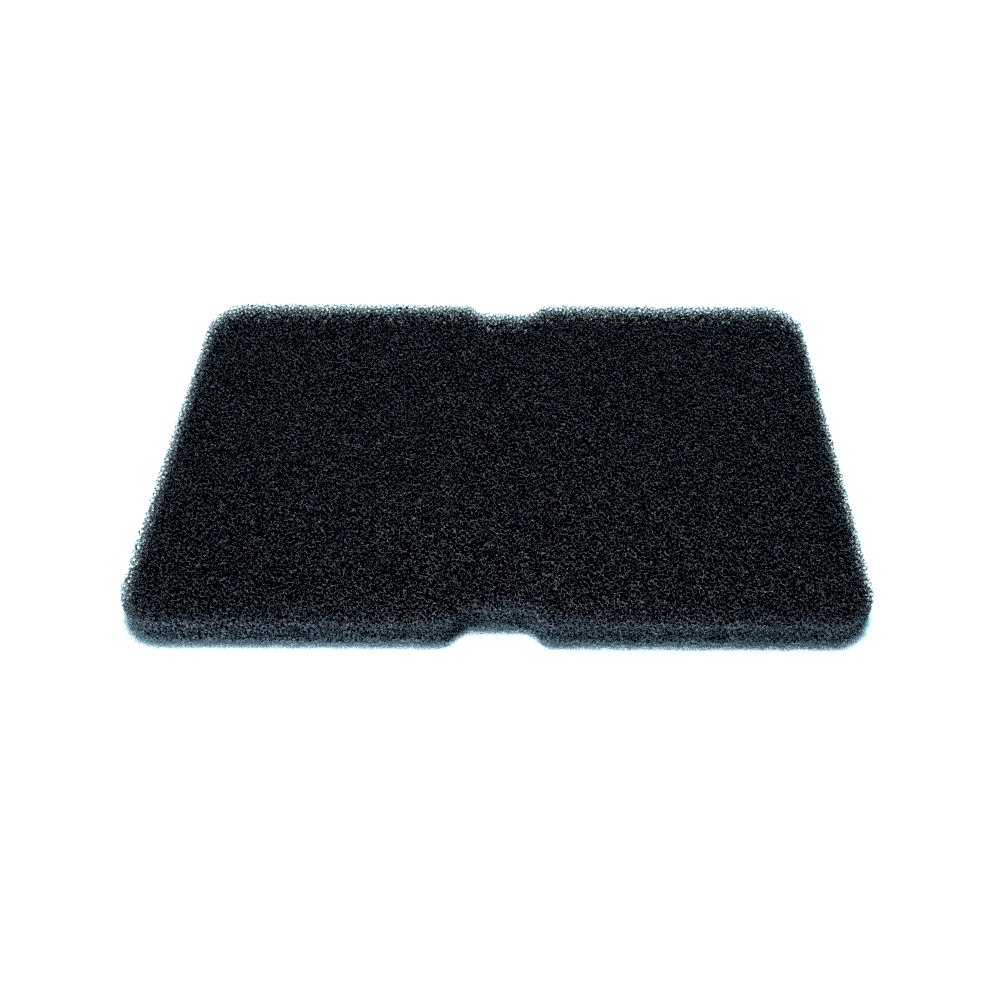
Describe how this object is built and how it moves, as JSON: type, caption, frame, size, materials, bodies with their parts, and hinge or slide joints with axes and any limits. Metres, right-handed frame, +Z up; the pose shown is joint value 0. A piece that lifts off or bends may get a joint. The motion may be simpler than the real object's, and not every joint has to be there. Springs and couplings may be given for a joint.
{
  "type": "foam air filter pad",
  "caption": "Flat black open-cell foam pad that filters air in a slot-in filter frame, with rounded corners and a shallow locating notch in the middle of each long edge.",
  "frame": {"origin": "centre of the bottom face, the one that rests on the filter frame's grille", "axes": "+X along the pad's length, +Y across its width, +Z up through its thickness to the face that meets the air first"},
  "size_m": [0.24, 0.155, 0.01],
  "materials": {
    "foam": "satin"
  },
  "bodies": {
    "root": {"foam_filter_pad": "foam"}
  },
  "joints": []
}
